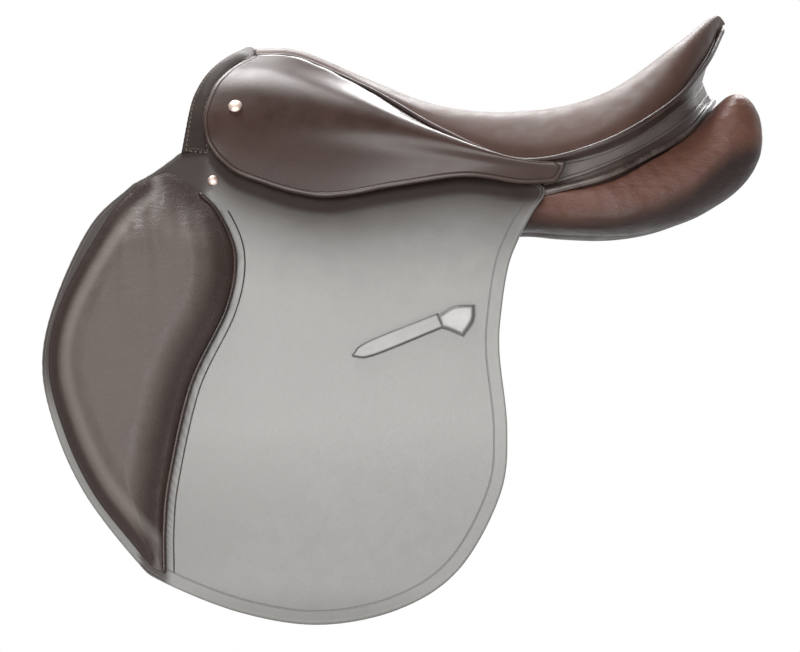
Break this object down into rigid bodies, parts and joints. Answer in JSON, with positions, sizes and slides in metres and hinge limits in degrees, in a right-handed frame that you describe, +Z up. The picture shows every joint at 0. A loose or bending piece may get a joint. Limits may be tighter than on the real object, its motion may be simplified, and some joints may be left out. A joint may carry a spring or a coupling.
{
  "type": "english riding saddle",
  "caption": "English general-purpose saddle with dished seat, skirts over sprung-tree stirrup bars, forward-cut lifting flaps with knee pads, girth straps and stuffed panels.",
  "frame": {"origin": "middle of the panels' bearing line on the centre plane, where the saddle rests on the horse", "axes": "+X from pommel to cantle, +Y to the off (right) side, +Z up"},
  "size_m": [0.5952, 0.3926, 0.5089],
  "materials": {
    "seat_leather": "semi-matt oiled havana leather",
    "skirt_leather": "semi-gloss bridle leather",
    "flap_leather": "semi-gloss bridle leather",
    "panel_leather": "soft panel hide",
    "dark_leather": "dark soft leather",
    "web": "linen webbing",
    "foam": "upholstery foam",
    "beech": "laminated beech, sanded",
    "steel": "forged and brushed",
    "brass": "polished domed head"
  },
  "bodies": {
    "saddle": {"cantle_board": "beech", "cantle_lining": "dark_leather", "front_girth_web": "web", "gullet_plate": "steel", "head_arch": "beech", "near_bar_rivet_1": "steel", "near_bar_rivet_2": "steel", "near_catch_pin": "steel", "near_flap_nail": "brass", "near_flap_root": "flap_leather", "near_panel": "panel_leather", "near_point_pocket": "dark_leather", "near_pommel_nail": "brass", "near_seat_welt": "dark_leather", "near_skirt_top": "skirt_leather", "near_spring": "steel", "near_stirrup_bar": "steel", "near_sweat_flap": "dark_leather", "near_tree_rail": "beech", "off_bar_rivet_1": "steel", "off_bar_rivet_2": "steel", "off_catch_pin": "steel", "off_flap_nail": "brass", "off_flap_root": "flap_leather", "off_panel": "panel_leather", "off_point_pocket": "dark_leather", "off_pommel_nail": "brass", "off_seat_welt": "dark_leather", "off_skirt_top": "skirt_leather", "off_spring": "steel", "off_stirrup_bar": "steel", "off_sweat_flap": "dark_leather", "off_tree_rail": "beech", "panel_piping": "dark_leather", "pommel_facing": "seat_leather", "rear_facing": "dark_leather", "rear_girth_web": "web", "seat_cover": "seat_leather", "seat_foam": "foam", "seat_web": "web"},
    "near_catch": {"near_bar_catch": "steel"},
    "near_strap_2": {"near_buckle_guard": "dark_leather", "near_girth_strap_2": "skirt_leather"},
    "near_flap": {"near_flap": "flap_leather", "near_keeper_patch": "flap_leather", "near_keeper_strap": "skirt_leather", "near_knee_pad": "dark_leather"},
    "near_strap_1": {"near_girth_strap_1": "skirt_leather"},
    "near_strap_3": {"near_girth_strap_3": "skirt_leather"},
    "near_skirt": {"near_skirt": "skirt_leather"},
    "off_catch": {"off_bar_catch": "steel"},
    "off_strap_2": {"off_buckle_guard": "dark_leather", "off_girth_strap_2": "skirt_leather"},
    "off_flap": {"off_flap": "flap_leather", "off_keeper_patch": "flap_leather", "off_keeper_strap": "skirt_leather", "off_knee_pad": "dark_leather"},
    "off_strap_1": {"off_girth_strap_1": "skirt_leather"},
    "off_strap_3": {"off_girth_strap_3": "skirt_leather"},
    "off_skirt": {"off_skirt": "skirt_leather"}
  },
  "joints": [
    {"name": "near_flap_lift", "type": "hinge", "parent": "saddle", "child": "near_flap", "pos_m": [-0.2, -0.1075, 0.041], "axis": [-0.9879, 0.0787, 0.1339], "range_deg": [0, 80]},
    {"name": "near_skirt_lift", "type": "hinge", "parent": "saddle", "child": "near_skirt", "pos_m": [-0.1644, -0.102, 0.095], "axis": [-0.9824, 0.1189, 0.144], "range_deg": [0, 60]},
    {"name": "near_bar_catch_flip", "type": "hinge", "parent": "saddle", "child": "near_catch", "pos_m": [0, 0, 0], "axis": [0, -1, 0], "range_deg": [0, 80]},
    {"name": "near_girth_strap_2_swing", "type": "hinge", "parent": "saddle", "child": "near_strap_2", "pos_m": [0, 0, 0], "axis": [0.035, 0.9994, 0], "range_deg": [-6, 6]},
    {"name": "near_girth_strap_1_swing", "type": "hinge", "parent": "saddle", "child": "near_strap_1", "pos_m": [0, 0, 0], "axis": [0.035, 0.9994, 0], "range_deg": [-6, 6]},
    {"name": "near_girth_strap_3_swing", "type": "hinge", "parent": "saddle", "child": "near_strap_3", "pos_m": [0, 0, 0], "axis": [0.035, 0.9994, 0], "range_deg": [-6, 6]},
    {"name": "off_flap_lift", "type": "hinge", "parent": "saddle", "child": "off_flap", "pos_m": [-0.2, 0.1075, 0.041], "axis": [0.9879, 0.0787, -0.1339], "range_deg": [0, 80]},
    {"name": "off_skirt_lift", "type": "hinge", "parent": "saddle", "child": "off_skirt", "pos_m": [-0.1644, 0.102, 0.095], "axis": [0.9824, 0.1189, -0.144], "range_deg": [0, 60]},
    {"name": "off_bar_catch_flip", "type": "hinge", "parent": "saddle", "child": "off_catch", "pos_m": [0, 0, 0], "axis": [0, -1, 0], "range_deg": [0, 80]},
    {"name": "off_girth_strap_2_swing", "type": "hinge", "parent": "saddle", "child": "off_strap_2", "pos_m": [0, 0, 0], "axis": [-0.035, 0.9994, 0], "range_deg": [-6, 6]},
    {"name": "off_girth_strap_1_swing", "type": "hinge", "parent": "saddle", "child": "off_strap_1", "pos_m": [0, 0, 0], "axis": [-0.035, 0.9994, 0], "range_deg": [-6, 6]},
    {"name": "off_girth_strap_3_swing", "type": "hinge", "parent": "saddle", "child": "off_strap_3", "pos_m": [0, 0, 0], "axis": [-0.035, 0.9994, 0], "range_deg": [-6, 6]}
  ],
  "couplings": [
    {"joint": "near_girth_strap_1_swing", "follows": "near_girth_strap_2_swing", "ratio": 1},
    {"joint": "near_girth_strap_3_swing", "follows": "near_girth_strap_2_swing", "ratio": 1},
    {"joint": "off_girth_strap_1_swing", "follows": "off_girth_strap_2_swing", "ratio": 1},
    {"joint": "off_girth_strap_3_swing", "follows": "off_girth_strap_2_swing", "ratio": 1}
  ]
}
